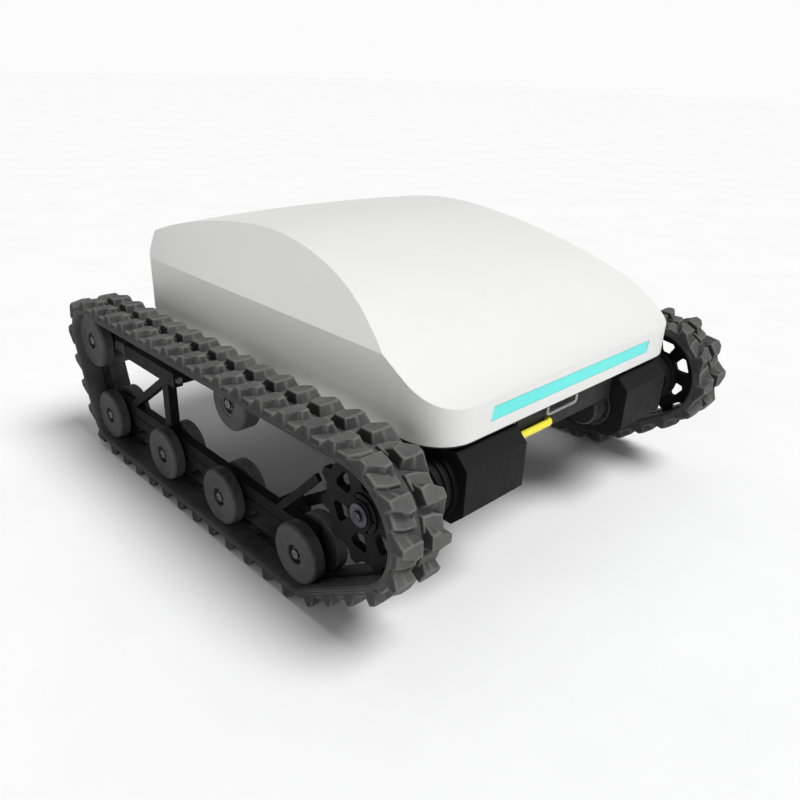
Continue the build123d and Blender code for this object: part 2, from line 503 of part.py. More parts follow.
# ---------------------------------------------------------------- body shell
def plan_prism(t, z0, z1):
    """Cover outline in plan, inset by t: rounded rectangle, large radii in front."""
    x0, x1, h = CV_X0 + t, CV_X1 - t, CV_HW - t
    rf, rr = R_FRONT - t, max(R_REAR - t, 3.0)
    c = 1 - sqrt(0.5)
    e = [Edge.make_line((x0 + rr, -h, z0), (x1 - rf, -h, z0)),
         Edge.make_three_point_arc((x1 - rf, -h, z0), (x1 - rf * c, -h + rf * c, z0), (x1, -h + rf, z0)),
         Edge.make_line((x1, -h + rf, z0), (x1, h - rf, z0)),
         Edge.make_three_point_arc((x1, h - rf, z0), (x1 - rf * c, h - rf * c, z0), (x1 - rf, h, z0)),
         Edge.make_line((x1 - rf, h, z0), (x0 + rr, h, z0)),
         Edge.make_three_point_arc((x0 + rr, h, z0), (x0 + rr * c, h - rr * c, z0), (x0, h - rr, z0)),
         Edge.make_line((x0, h - rr, z0), (x0, -h + rr, z0)),
         Edge.make_three_point_arc((x0, -h + rr, z0), (x0 + rr * c, -h + rr * c, z0), (x0 + rr, -h, z0))]
    return extrude(Face(Wire(e)), amount=z1 - z0, dir=(0, 0, 1))


def lerp(tab, x):
    if x <= tab[0][0]:
        return tab[0][1]
    for (xa, a), (xb, b) in zip(tab, tab[1:]):
        if x <= xb:
            return a + (b - a) * (x - xa) / (xb - xa)
    return tab[-1][1]


def roof_solid(t):
    """Volume under the roof, drooping forward, slightly crowned across."""
    tab = [(-40, 446.0)] + ROOF + [(910, 339.5)]
    wires = []
    for y in (-400.0, -200.0, 0.0, 200.0, 400.0):
        pts = []
        for i, (x, z) in enumerate(tab):
            a = tab[max(i - 1, 0)]
            b = tab[min(i + 1, len(tab) - 1)]
            dx, dz = b[0] - a[0], b[1] - a[1]
            n = hypot(dx, dz)
            crown = (9.0 - 6.5 * max(0.0, min(1.0, x / 800.0))) * (1 - (y / 320.0) ** 2)
            pts.append((XS + x + t * dz / n, y, GROUND + z + crown - t * dx / n))
        top = Edge.make_spline([Vector(*p) for p in pts])
        p0, p1 = pts[0], pts[-1]
        low = GROUND + 150.0
        wires.append(Wire([top, Edge.make_line(p1, (p1[0], y, low)), Edge.make_line((p1[0], y, low), (p0[0], y, low)),
                           Edge.make_line((p0[0], y, low), p0)]))
    return Solid.make_loft(wires)


def facet_cut(t):
    """Wedge above the shoulder line on the right side."""
    wires = []
    for x, s in FACET:
        off = t * sqrt(1 + 1 / (s * s))
        h = CV_HW - off
        zl, zh = SHOULDER_Z - 26 * s, SHOULDER_Z + 170
        wires.append(Wire.make_polygon([(XS + x, -(h + 26), zl), (XS + x, -(h - 170 / s), zh),
                                        (XS + x, -(h + 180), zh), (XS + x, -(h + 180), zl)], close=True))
    return Solid.make_loft(wires)


def cover_volume(t, z0):
    v = plan_prism(t, z0, GROUND + 560) & roof_solid(t)
    c = facet_cut(t)
    return v - c - flip(c)


outer = cover_volume(0.0, CV_Z0)
inner = cover_volume(CV_T, CV_Z0 - 5)
cover = outer - inner
ledge = plan_prism(CV_T - 0.5, CV_Z0, CV_Z0 + 6) - plan_prism(18.0, CV_Z0 - 1, CV_Z0 + 7)
cover = cover + ledge

sl = 3.0                        # slant of the strip's ends
lens_pts = [(-LENS_HY - sl, LENS_Z0), (LENS_HY - sl, LENS_Z0), (LENS_HY + sl - 1, LENS_Z1), (-LENS_HY + sl, LENS_Z1)]


def lens_plate(x0, x1, g):
    pts = [(-LENS_HY - sl - g, LENS_Z0 - g), (LENS_HY - sl + g, LENS_Z0 - g),
           (LENS_HY + sl + g, LENS_Z1 + g), (-LENS_HY + sl - g, LENS_Z1 + g)]
    return extrude(Face(Wire.make_polygon([(x0, y, z) for y, z in pts], close=True)), amount=x1 - x0, dir=(1, 0, 0))


cover = cover - lens_plate(CV_X1 - CV_T - 2, CV_X1 + 2, 0.6)
lens = lens_plate(CV_X1 - CV_T - 0.02, CV_X1 - 0.8, 0.0) + lens_plate(CV_X1 - CV_T - 3.0, CV_X1 - CV_T, 6.0)

# screw positions round the rim
SCR = []
for x in (CV_X0 + 60, CV_X0 + 310, CV_X0 + 560, CV_X1 - 110):
    SCR += [(x, -(CV_HW - 8)), (x, CV_HW - 8)]
SCR += [(CV_X0 + 8, -180), (CV_X0 + 8, 180), (CV_X1 - 10, -200), (CV_X1 - 10, 200)]
for x, y in SCR:
    cover = cover - Pos(x, y, CV_Z0 + 2) * Cylinder(2.55, 8)
save(cover, "cover_shell")
save(lens, "light_strip_lens")
rim_screws = []
for x, y in SCR:
    s = Pos(x, y, CV_Z0 - 5.6) * Cylinder(4.2, 4.0) + Pos(x, y, CV_Z0 - 0.8) * Cylinder(2.5, 10.0)
    rim_screws.append(s - Pos(x, y, CV_Z0 - 8) * Cylinder(1.8, 3.0))
save(group(rim_screws), "cover_screws")

# ---------------------------------------------------------------- chassis tub and deck rim
rim = plan_prism(2.0, DECK_Z1 - 3.6, DECK_Z1)
rim = rim - box(TUB_X0 + 18, TUB_X1 - 8, -TUB_HY + 16, TUB_HY - 16, DECK_Z1 - 10, DECK_Z1 + 5)
tub = box(TUB_X0, TUB_X1, -TUB_HY, TUB_HY, TUB_Z0, DECK_Z1 - 3.5) \
    - box(TUB_X0 + 3, TUB_X1 - 3, -TUB_HY + 3, TUB_HY - 3, TUB_Z0 + 3, DECK_Z1 + 5)
tub = tub + rim
for y in (-120.0, 120.0):
    tub = tub + box(TUB_X0, TUB_X1, y - 9, y + 9, TUB_Z0 - 6, TUB_Z0 + 0.5)
# front skirt between the gearboxes, with folded ends, cable hole
SK_X = CV_X1 - 20.0
tub = tub + box(SK_X, SK_X + 4, -150, 150, GROUND + 233, DECK_Z1 - 3)
tub = tub + box(TUB_X1 + 0, SK_X + 2, -100, -96, GROUND + 252, DECK_Z1 - 3) + box(TUB_X1, SK_X + 2, 96, 100, GROUND + 252, DECK_Z1 - 3)
tub = tub - Pos(SK_X + 2, -61, GROUND + 248) * Rot(0, 90, 0) * Cylinder(11.0, 20)
for x, y in SCR:
    tub = tub - Pos(x, y, DECK_Z1 - 2) * Cylinder(2.6, 12)
save(tub, "chassis_tub")

# ---------------------------------------------------------------- equipment under the cover
F = TUB_Z0 + 3.0
bat = box(XS + 110, XS + 400, -125, 125, F, F + 118)
bat = fillet(bat.edges().filter_by(Axis.Z), 10) + box(XS + 130, XS + 165, -95, -55, F + 117, F + 128) + box(XS + 130, XS + 165, 55, 95, F + 117, F + 128)
save(bat, "battery_pack")
ctl = []
for sgn in (-1, 1):
    c = box(XS + 470, XS + 600, sgn * 170 - 60, sgn * 170 + 60, F, F + 22)
    for k in range(9):
        c = c + box(XS + 476 + 14 * k, XS + 480 + 14 * k, sgn * 170 - 56, sgn * 170 + 56, F + 21, F + 44)
    ctl.append(c)
save(group(ctl), "motor_controllers")
cb = box(XS + 470, XS + 640, -80, 80, F, F + 52)
cb = fillet(cb.edges().filter_by(Axis.Z), 6) + box(XS + 500, XS + 530, 78, 92, F + 14, F + 34) + box(XS + 560, XS + 590, 78, 92, F + 14, F + 34)
save(cb, "control_box")

# ---------------------------------------------------------------- front details
cz = GROUND + 248.0
cable = rod([(CV_X1 - 8.5, -GB_Y0, cz), (CV_X1 - 8.5, -58, cz), (SK_X - 12, -58, cz)], 6.5, 13.0)
save(cable, "motor_cable")
hx = SK_X + 12.0
loop = rod([(hx, -76, DECK_Z1 - 3.6), (hx, -76, GROUND + 266), (hx, 12, GROUND + 266), (hx, 12, DECK_Z1 - 3.6)], 3.0, 7.0)
save(loop, "front_hook")
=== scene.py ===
import json
import math
import random

import bmesh
import bpy
from mathutils import Matrix, Vector


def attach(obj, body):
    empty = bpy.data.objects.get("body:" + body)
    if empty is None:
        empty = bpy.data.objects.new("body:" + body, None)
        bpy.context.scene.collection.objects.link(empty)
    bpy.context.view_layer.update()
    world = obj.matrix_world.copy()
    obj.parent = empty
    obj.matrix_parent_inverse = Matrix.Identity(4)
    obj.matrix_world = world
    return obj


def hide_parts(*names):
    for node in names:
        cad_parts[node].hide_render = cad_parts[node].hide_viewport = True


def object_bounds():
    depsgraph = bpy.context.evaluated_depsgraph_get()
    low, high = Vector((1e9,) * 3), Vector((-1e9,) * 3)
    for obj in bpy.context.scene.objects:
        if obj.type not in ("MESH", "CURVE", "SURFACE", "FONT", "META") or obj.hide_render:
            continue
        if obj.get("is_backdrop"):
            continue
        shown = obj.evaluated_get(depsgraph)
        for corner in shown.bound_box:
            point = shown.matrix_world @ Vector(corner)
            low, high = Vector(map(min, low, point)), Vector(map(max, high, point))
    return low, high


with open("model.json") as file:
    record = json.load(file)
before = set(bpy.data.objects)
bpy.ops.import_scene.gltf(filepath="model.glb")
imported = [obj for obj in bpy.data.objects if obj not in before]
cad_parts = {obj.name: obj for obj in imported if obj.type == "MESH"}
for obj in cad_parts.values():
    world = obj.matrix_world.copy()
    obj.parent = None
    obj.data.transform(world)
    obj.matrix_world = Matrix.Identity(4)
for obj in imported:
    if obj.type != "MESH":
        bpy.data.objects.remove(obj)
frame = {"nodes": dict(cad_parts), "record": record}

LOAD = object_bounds()
random.seed(7)
MM = 0.001

# ------------------------------------------------------------------ dimensions (mm), as in the CAD part
GROUND, XS = 22.0, -406.35
TRACK_C, BELT_W, CARCASS, LUG_H = 450.0, 100.0, 11.0, 22.0
WHEEL_X = [XS, XS + 240.0, XS + 454.0, XS + 687.0]
WHEEL_R = 54.7
WHEEL_Z = GROUND + CARCASS + 0.3 + WHEEL_R
IDLER = (XS - 44.0, GROUND + 231.5)
SPRK = (XS + 822.0, GROUND + 202.0)
SPRK_BELT_R = 96.0


# ------------------------------------------------------------------ node helpers
class Mat:
    """A principled material built from procedural nodes."""

    def __init__(self, name):
        self.m = bpy.data.materials.new(name)
        self.m.use_nodes = True
        self.t = self.m.node_tree
        self.t.nodes.clear()
        self.out = self.t.nodes.new("ShaderNodeOutputMaterial")
        self.p = self.t.nodes.new("ShaderNodeBsdfPrincipled")
        self.t.links.new(self.p.outputs[0], self.out.inputs[0])
        self.co = self.n("ShaderNodeTexCoord").outputs["Object"]
        self.normal = None

    def n(self, kind):
        return self.t.nodes.new(kind)

    def link(self, a, b):
        self.t.links.new(a, b)

    def put(self, sock, v):
        if hasattr(v, "is_linked"):
            self.link(v, sock)
        else:
            sock.default_value = v

    def set(self, name, v):
        self.put(self.p.inputs[name], v)

    def noise(self, scale, detail=4.0, rough=0.55, dist=0.0, stretch=None, offset=0.0):
        co = self.co
        if stretch or offset:
            mp = self.n("ShaderNodeMapping")
            self.link(co, mp.inputs["Vector"])
            if stretch:
                mp.inputs["Scale"].default_value = stretch
            mp.inputs["Location"].default_value = (offset, offset * 1.7, offset * 0.6)
            co = mp.outputs[0]
        x = self.n("ShaderNodeTexNoise")
        self.link(co, x.inputs["Vector"])
        x.inputs["Scale"].default_value = scale
        x.inputs["Detail"].default_value = detail
        x.inputs["Roughness"].default_value = rough
        x.inputs["Distortion"].default_value = dist
        return x.outputs["Fac"]

    def voronoi(self, scale, feature="F1"):
        x = self.n("ShaderNodeTexVoronoi")
        x.feature = feature
        self.link(self.co, x.inputs["Vector"])
        x.inputs["Scale"].default_value = scale
        return x.outputs["Distance"]

    def ramp(self, fac, a, b, lo=0.0, hi=1.0):
        x = self.n("ShaderNodeMapRange")
        x.clamp = True
        self.put(x.inputs["Value"], fac)
        x.inputs["From Min"].default_value = a
        x.inputs["From Max"].default_value = b
        x.inputs["To Min"].default_value = lo
        x.inputs["To Max"].default_value = hi
        return x.outputs[0]

    def math(self, op, a, b=0.0, clamp=False):
        x = self.n("ShaderNodeMath")
        x.operation = op
        x.use_clamp = clamp
        self.put(x.inputs[0], a)
        self.put(x.inputs[1], b)
        return x.outputs[0]

    def mix(self, fac, a, b):
        x = self.n("ShaderNodeMix")
        x.data_type = "RGBA"
        self.put(x.inputs[0], fac)
        self.put(x.inputs[6], a if hasattr(a, "is_linked") else (*a, 1.0))
        self.put(x.inputs[7], b if hasattr(b, "is_linked") else (*b, 1.0))
        return x.outputs[2]

    def bump(self, height, strength=0.3, distance=0.001):
        x = self.n("ShaderNodeBump")
        x.inputs["Strength"].default_value = strength
        x.inputs["Distance"].default_value = distance
        self.put(x.inputs["Height"], height)
        if self.normal is not None:
            self.link(self.normal, x.inputs["Normal"])
        self.normal = x.outputs[0]
        self.link(self.normal, self.p.inputs["Normal"])

    def rounded(self, radius):
        """Soft edges in the shading normal; returns a mask of the edges."""
        b = self.n("ShaderNodeBevel")
        b.samples = 4
        b.inputs["Radius"].default_value = radius
        self.normal = b.outputs[0]
        self.link(self.normal, self.p.inputs["Normal"])
        g = self.n("ShaderNodeNewGeometry")
        d = self.n("ShaderNodeVectorMath")
        d.operation = "DOT_PRODUCT"
        self.link(b.outputs[0], d.inputs[0])
        self.link(g.outputs["Normal"], d.inputs[1])
        return self.ramp(d.outputs["Value"], 0.995, 0.90, 0.0, 1.0)

    def up(self):
        """How much the surface faces up."""
        g = self.n("ShaderNodeNewGeometry")
        s = self.n("ShaderNodeSeparateXYZ")
        self.link(g.outputs["Normal"], s.inputs[0])
        return s.outputs[2]

    def attr(self, name):
        a = self.n("ShaderNodeAttribute")
        a.attribute_name = name
        return a.outputs["Fac"]


def rubber(name, deep, lighter_tone, dust, scale=1.0, attr=False, edge=0.0012):
    m = Mat(name)
    e = m.rounded(edge) if edge else 0.0
    big = m.noise(9.0 * scale, 5.0)
    mid = m.noise(70.0 * scale, 6.0, 0.62, offset=3.0)
    fine = m.noise(900.0 * scale, 3.0, 0.6, offset=7.0)
    pits = m.voronoi(420.0 * scale)
    base = m.mix(m.ramp(mid, 0.35, 0.68), deep, lighter_tone)
    base = m.mix(m.math("MULTIPLY", m.ramp(big, 0.42, 0.7), 0.55), base, dust)
    if attr:
        g = m.n("ShaderNodeNewGeometry")
        sp = m.n("ShaderNodeSeparateXYZ")
        m.link(g.outputs["True Normal"], sp.inputs[0])
        # painted shade: faces turned towards ±Y are darkened in colour to stand in for the shade on the bars' side
        # walls
        side = m.ramp(m.math("ABSOLUTE", sp.outputs[1]), 0.72, 0.95, 0.0, 0.72)
        base = m.mix(side, base, tuple(c * 0.45 for c in deep))
        # the per-vertex lightening mixes toward the dust colour: dust and wear on the bar tops, painted highlight along
        # the bevelled edges
        w = m.attr("lightening")
        w = m.math("MULTIPLY", w, m.ramp(mid, 0.2, 0.75, 0.55, 1.0))
        base = m.mix(w, base, dust)
    if edge:
        base = m.mix(m.math("MULTIPLY", e, m.ramp(mid, 0.3, 0.6, 0.25, 0.75)), base, tuple(min(1, c * 1.35) for c in dust))
    speck = m.ramp(fine, 0.62, 0.74)
    base = m.mix(m.math("MULTIPLY", speck, 0.22), base, tuple(min(1, c * 1.7) for c in dust))
    m.set("Base Color", base)
    m.set("Roughness", m.ramp(mid, 0.3, 0.75, 0.62, 0.86))
    m.p.inputs["Specular IOR Level"].default_value = 0.38
    h = m.math("ADD", m.math("MULTIPLY", fine, 0.35), m.math("ADD", m.math("MULTIPLY", mid, 1.0), m.math("MULTIPLY", m.ramp(pits, 0.0, 0.35), 0.4)))
    m.bump(h, 0.5, 0.0009)
    return m.m


def paint(name, base, chip, rough=0.45, peel=700.0, edge=0.0009, spec=0.5, dust=None, lightening=0.6, coat=0.0, bump=0.18):
    m = Mat(name)
    e = m.rounded(edge)
    big = m.noise(6.0, 5.0)
    mid = m.noise(60.0, 6.0, 0.62, offset=2.0)
    fine = m.noise(peel, 2.0, 0.5, offset=5.0)
    scratch = m.noise(40.0, 6.0, 0.7, 0.6, (1.0, 9.0, 1.0), 4.0)
    col = m.mix(m.ramp(big, 0.35, 0.7, 0.0, 0.5), base, tuple(c * 0.72 for c in base))
    col = m.mix(m.math("MULTIPLY", m.ramp(scratch, 0.60, 0.70), 0.35), col, tuple(c * 1.8 + 0.01 for c in base))
    chips = m.math("MULTIPLY", e, m.math("MULTIPLY", m.ramp(mid, 0.46, 0.58), lightening))
    col = m.mix(chips, col, chip)
    if dust:
        d = m.math("MULTIPLY", m.ramp(m.up(), 0.3, 0.95), m.ramp(mid, 0.35, 0.75, 0.1, 0.55))
        col = m.mix(d, col, dust)
    m.set("Base Color", col)
    m.set("Roughness", m.math("ADD", m.ramp(mid, 0.3, 0.7, rough - 0.07, rough + 0.10), m.math("MULTIPLY", fine, 0.06)))
    m.p.inputs["Specular IOR Level"].default_value = spec
    m.p.inputs["Coat Weight"].default_value = coat
    m.p.inputs["Coat Roughness"].default_value = 0.2
    m.bump(m.math("ADD", fine, m.math("MULTIPLY", m.ramp(scratch, 0.60, 0.70), -0.5)), bump, 0.0005)
    return m.m


def steel(name, base, rough=0.32, dirt=(0.05, 0.045, 0.04), metallic=1.0, grain=(1.0, 1.0, 1.0), edge=0.0005):
    m = Mat(name)
    e = m.rounded(edge)
    mid = m.noise(90.0, 6.0, 0.6)
    fine = m.noise(1600.0, 2.0, 0.5, 0.0, grain, 3.0)
    col = m.mix(m.ramp(mid, 0.5, 0.78, 0.0, 0.75), base, dirt)
    col = m.mix(m.math("MULTIPLY", e, 0.5), col, tuple(min(1, c * 1.25) for c in base))
    m.set("Base Color", col)
    m.set("Metallic", m.ramp(mid, 0.55, 0.8, metallic, 0.35 * metallic))
    m.set("Roughness", m.math("ADD", m.ramp(mid, 0.35, 0.8, rough, rough + 0.35), m.math("MULTIPLY", fine, 0.10)))
    m.bump(fine, 0.12, 0.0003)
    return m.m


def plastic(name, base, rough=0.4, sss=0.0, shade=0.94, peel=260.0, bump=0.05, coat=0.0, edge=0.002):
    m = Mat(name)
    m.rounded(edge)
    big = m.noise(3.0, 4.0)
    mid = m.noise(45.0, 5.0, 0.6, offset=2.0)
    peeln = m.noise(peel, 2.0, 0.5, offset=6.0)
    smudge = m.noise(11.0, 6.0, 0.68, 1.2, offset=9.0)
    col = m.mix(m.ramp(big, 0.3, 0.7), base, tuple(c * shade for c in base))
    col = m.mix(m.math("MULTIPLY", m.ramp(smudge, 0.58, 0.8), 0.10), col, tuple(c * 0.78 for c in base))
    col = m.mix(m.math("MULTIPLY", m.ramp(mid, 0.66, 0.78), 0.10), col, tuple(c * 0.70 for c in base))
    m.set("Base Color", col)
    m.set("Roughness", m.math("ADD", m.ramp(smudge, 0.35, 0.75, rough - 0.05, rough + 0.10), m.math("MULTIPLY", peeln, 0.05)))
    m.p.inputs["Coat Weight"].default_value = coat
    m.p.inputs["Coat Roughness"].default_value = 0.25
    if sss:
        m.p.inputs["Subsurface Weight"].default_value = sss
        m.p.inputs["Subsurface Radius"].default_value = (0.003, 0.003, 0.003)
    m.bump(peeln, bump, 0.0006)
    return m


MATS = {}
MATS["cover_white"] = plastic("cover_white", (0.75, 0.75, 0.742), 0.42, 0.05, 0.985, 320.0, 0.035, 0.12).m
st = plastic("strip_teal", (0.10, 0.76, 0.72), 0.30, 0.0, 0.9, 180.0, 0.04, 0.3, 0.0006)
rows = st.noise(30.0, 2.0, 0.5, 0.0, (0.2, 2.2, 0.6), 1.0)
st.p.inputs["Emission Color"].default_value = (0.10, 0.80, 0.76, 1.0)
st.set("Emission Strength", st.ramp(rows, 0.3, 0.7, 0.04, 0.09))
MATS["strip_teal"] = st.m
MATS["belt_rubber"] = rubber("belt_rubber", (0.024, 0.024, 0.024), (0.046, 0.046, 0.046), (0.140, 0.139, 0.137), 1.0, True, 0.0)
MATS["wheel_rubber"] = rubber("wheel_rubber", (0.030, 0.030, 0.031), (0.060, 0.060, 0.061), (0.105, 0.104, 0.102), 1.2, False, 0.0016)
MATS["sprocket_black"] = paint("sprocket_black", (0.006, 0.006, 0.0065), (0.12, 0.12, 0.12), 0.55, 500.0, 0.0008, 0.12, (0.012, 0.0117, 0.0114), 0.5)
MATS["shaft_steel"] = steel("shaft_steel", (0.10, 0.10, 0.105), 0.40, (0.02, 0.02, 0.02))
MATS["gearbox_grey"] = paint("gearbox_grey", (0.009, 0.009, 0.0096), (0.09, 0.09, 0.093), 0.55, 900.0, 0.0010, 0.12, (0.014, 0.014, 0.014), 0.5)
MATS["motor_black"] = paint("motor_black", (0.006, 0.006, 0.0065), (0.25, 0.25, 0.25), 0.36, 700.0, 0.0006, 0.5, None, 0.7)
MATS["frame_black"] = paint("frame_black", (0.005, 0.005, 0.0054), (0.08, 0.08, 0.08), 0.55, 700.0, 0.0012, 0.12, (0.009, 0.0088, 0.0086), 0.5)
MATS["tensioner_steel"] = paint("tensioner_steel", (0.05, 0.05, 0.052), (0.30, 0.30, 0.30), 0.42, 700.0, 0.0008, 0.5, (0.06, 0.058, 0.055), 0.8)
MATS["bolt_steel"] = steel("bolt_steel", (0.16, 0.16, 0.165), 0.36, (0.02, 0.02, 0.02))
MATS["bearing_steel"] = steel("bearing_steel", (0.06, 0.06, 0.062), 0.36, (0.015, 0.015, 0.015))
MATS["screw_black"] = paint("screw_black", (0.025, 0.025, 0.026), (0.30, 0.30, 0.30), 0.40, 900.0, 0.0004, 0.5, None, 0.8)
MATS["tub_black"] = paint("tub_black", (0.005, 0.005, 0.0055), (0.12, 0.12, 0.12), 0.55, 800.0, 0.0010, 0.4, None, 0.4)
MATS["battery_case"] = plastic("battery_case", (0.05, 0.07, 0.11), 0.45, 0.0, 0.9, 500.0, 0.10).m
MATS["heatsink_aluminium"] = steel("heatsink_aluminium", (0.56, 0.56, 0.58), 0.38, (0.30, 0.30, 0.30))
MATS["box_grey"] = plastic("box_grey", (0.20, 0.21, 0.22), 0.50, 0.0, 0.9, 600.0, 0.12).m
MATS["cable_yellow"] = plastic("cable_yellow", (0.82, 0.76, 0.045), 0.38, 0.0, 0.93, 300.0, 0.05, 0.1, 0.0004).m
MATS["hook_steel"] = steel("hook_steel", (0.40, 0.40, 0.41), 0.28)

SLOTS = {s["node"]: s["material_slot"] for s in frame["record"]["subparts"]}
for name, obj in frame["nodes"].items():
    obj.data.materials.clear()
    obj.data.materials.append(MATS[SLOTS[name]])


def new_object(name, verts, faces, mat, smooth=30.0):
    me = bpy.data.meshes.new(name)
    me.from_pydata([tuple(c * MM for c in v) for v in verts], [], faces)
    me.update()
    ob = bpy.data.objects.new(name, me)
    bpy.context.scene.collection.objects.link(ob)
    me.materials.append(mat)
    if smooth:
        for p in me.polygons:
            p.use_smooth = True
        me.set_sharp_from_angle(angle=math.radians(smooth))
    return ob


# ------------------------------------------------------------------ track belts
CIRC = [(WHEEL_X[0], WHEEL_Z, WHEEL_R + 0.3 + CARCASS), (WHEEL_X[3], WHEEL_Z, WHEEL_R + 0.3 + CARCASS),
        (SPRK[0], SPRK[1], SPRK_BELT_R + CARCASS), (IDLER[0], IDLER[1], 60.0 + 0.3 + CARCASS)]


def tangent_angle(c, d):
    dx, dz = d[0] - c[0], d[1] - c[1]
    return math.atan2(dz, dx) + math.asin((c[2] - d[2]) / math.hypot(dx, dz))


THETA = [tangent_angle(CIRC[i], CIRC[(i + 1) % 4]) for i in range(4)]
SEGS = []
for i in range(4):
    c, d = CIRC[i], CIRC[(i + 1) % 4]
    t = THETA[i]
    n = (math.sin(t), -math.cos(t))
    p = (c[0] + c[2] * n[0], c[1] + c[2] * n[1])
    q = (d[0] + d[2] * n[0], d[1] + d[2] * n[1])
    SEGS.append(("line", math.hypot(q[0] - p[0], q[1] - p[1]), (p, q, t)))
    turn = (THETA[(i + 1) % 4] - t) % (2 * math.pi)
    SEGS.append(("arc", turn * d[2], (d, t)))
LOOP = sum(s[1] for s in SEGS)
N_PITCH = round(LOOP / 60.0)
PITCH = LOOP / N_PITCH


def at(s):
    s = s % LOOP
    for kind, length, data in SEGS:
        if s <= length:
            if kind == "line":
                p, q, t = data
                f = s / length
                return p[0] + (q[0] - p[0]) * f, p[1] + (q[1] - p[1]) * f, t
            d, t0 = data
            t = t0 + s / d[2]
            return d[0] + d[2] * math.sin(t), d[1] - d[2] * math.cos(t), t
        s -= length
    return at(0.0)


s_top = sum(SEGS[i][1] for i in range(4))
p_top, q_top, t_top = SEGS[4][2]
PHASE = s_top + (XS + 518.0 - p_top[0]) / math.cos(t_top)

# (centre, base outline, top outline, base height, top height)
TREAD_BASE = 7.5
TREAD = [
    (-10.0, [(-8.5, 50), (1.5, 28), (5.5, 26), (20, 8.5), (-26, 8.5), (-36, 30), (-46, 50)],
     [(-10, 49.2), (0, 27.5), (4, 25), (1, 9.8), (-24, 9.8), (-24, 30), (-23.5, 49.2)], 3.0, LUG_H),
    (-9.5, [(-11, -50), (-21, -28), (-25, -26), (-40, -8.5), (6.5, -8.5), (16.5, -30), (32, -50)],
     [(-9.5, -49.2), (-19.5, -27.5), (-23.5, -25), (-20.5, -9.8), (4.5, -9.8), (4.5, -30), (4, -49.2)], 3.0, LUG_H),
    # low pads in front of the outer bars and behind the inner ones
    (6.0, [(-14, 50), (19, 50), (26, 30), (29, 5), (0, 5), (-1, 27)],
     [(-12, 45.5), (14.5, 45.5), (22, 29), (25.5, 6.5), (0, 6.5), (0, 27)], -3.5, 8.0),
    (-26.0, [(-5.5, -50), (-38.5, -50), (-45.5, -30), (-48.5, -5), (-19.5, -5), (-18.5, -27)],
     [(-7.5, -45.5), (-34, -45.5), (-41.5, -29), (-45, -6.5), (-19.5, -6.5), (-19.5, -27)], -3.5, 8.0)]
TREAD = [(c, b, t, -2.5 if h0 > 0 else h0, h1) for c, b, t, h0, h1 in TREAD]


def lug_template(c, base, top, h0, h1):
    """Bevelled tread bar whose edges are lightened, partly as wear and partly as painted highlight. Local: (s, t, h)
    and a lightening value per vertex.
    """
    bm = bmesh.new()
    b = [bm.verts.new((s - c, t, h0)) for s, t in base]
    u = [bm.verts.new((s - c, t, h1)) for s, t in top]
    n = len(b)
    area = sum(base[i][0] * base[(i + 1) % n][1] - base[(i + 1) % n][0] * base[i][1] for i in range(n))
    for i in range(n):
        j = (i + 1) % n
        bm.faces.new((b[i], b[j], u[j], u[i]) if area > 0 else (b[j], b[i], u[i], u[j]))
    bm.faces.new(u if area > 0 else u[::-1])
    edges = [e for e in bm.edges if not (e.verts[0].co.z < h0 + 0.01 and e.verts[1].co.z < h0 + 0.01)]
    bmesh.ops.bevel(bm, geom=edges, offset=2.0, segments=3, profile=0.5, affect="EDGES", clamp_overlap=True)
    lighter_tone = bm.verts.layers.float.new("w")
    for v in bm.verts:
        # bevel strips along the raised edges get the full value: painted highlight on the edges, partly wear; tops stay
        # lighter than side faces for dust and wear
        v[lighter_tone] = 1.0 if v.co.z > h0 + 1.0 else 0.1
    big = [f for f in bm.faces if f.calc_area() > 45.0]
    bmesh.ops.inset_individual(bm, faces=big, thickness=1.3, depth=0.0, use_even_offset=True)
    for f in big:
        for v in f.verts:
            v[lighter_tone] = 0.45 if f.normal.z > 0.8 else 0.18
    bmesh.ops.inset_individual(bm, faces=big, thickness=3.0, depth=-0.25, use_even_offset=True)
    for f in big:
        for v in f.verts:
            v[lighter_tone] = 0.40 if f.normal.z > 0.8 else 0.10
    bmesh.ops.triangulate(bm, faces=[f for f in bm.faces if len(f.verts) > 4])
    bm.verts.index_update()
    verts = [(v.co.x, v.co.y, v.co.z, v[lighter_tone]) for v in bm.verts]
    faces = [[v.index for v in f.verts] for f in bm.faces]
    bm.free()
    return c, verts, faces


LUGS = [lug_template(*t) for t in TREAD]


def side_ribs():
    """Fine upright ribs moulded on the end wall of each bar, (s range, height)."""
    out = []
    s = -42.0
    while s < -11.5:
        h = 20.0 if s > -23.5 else 20.0 - (-23.5 - s) / 1.1
        out.append((s, h))
        s += 3.1
    return out


# cord edge: two grooves run all the way round the belt's edge
EDGE = [(49.2, -1.6), (50.0, -2.4), (50.0, -3.6), (49.1, -4.2), (49.1, -5.0), (50.0, -5.6), (50.0, -7.0), (49.2, -7.6),
        (49.0, -8.4), (48.6, -9.4), (47.6, -10.6), (46.6, -11.0)]


